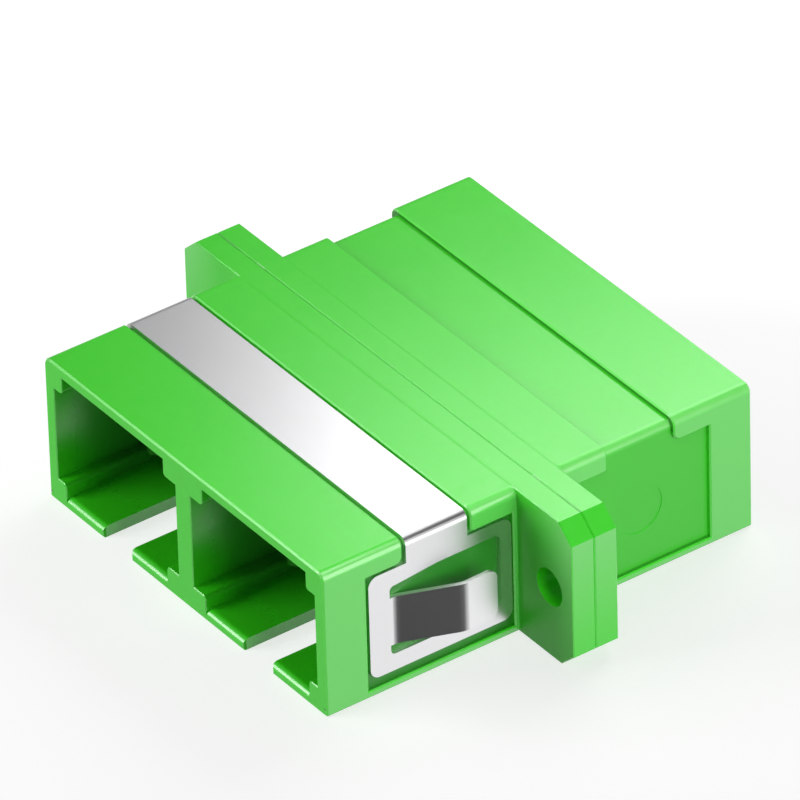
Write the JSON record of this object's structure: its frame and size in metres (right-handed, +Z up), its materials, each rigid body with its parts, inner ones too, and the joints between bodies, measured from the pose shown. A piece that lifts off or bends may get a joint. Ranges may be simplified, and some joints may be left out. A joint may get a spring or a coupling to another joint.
{
  "type": "duplex fibre optic adapter",
  "caption": "Side-by-side SC-type fibre optic adapter: moulded halves welded at the screw ears, a sprung panel clip, inner latch holders and split alignment sleeves.",
  "frame": {"origin": "middle of the weld line between the two halves, on the flat underside", "axes": "+X across the ports to the right, +Y along the fibres from the clip's half to the other half, +Z up away from the key slots"},
  "size_m": [0.0344, 0.0276, 0.0091],
  "materials": {
    "green_plastic": "satin moulded green plastic",
    "holder_plastic": "satin moulded green plastic",
    "spring_steel": "bright rolled stainless spring steel",
    "sleeve_ceramic": "polished white ceramic"
  },
  "bodies": {
    "root": {"front_housing": "green_plastic", "rear_housing": "green_plastic", "mounting_clip": "spring_steel", "front_latch_holder_left": "holder_plastic", "front_latch_holder_right": "holder_plastic", "rear_latch_holder_left": "holder_plastic", "rear_latch_holder_right": "holder_plastic", "alignment_sleeve_left": "sleeve_ceramic", "alignment_sleeve_right": "sleeve_ceramic"}
  },
  "joints": []
}
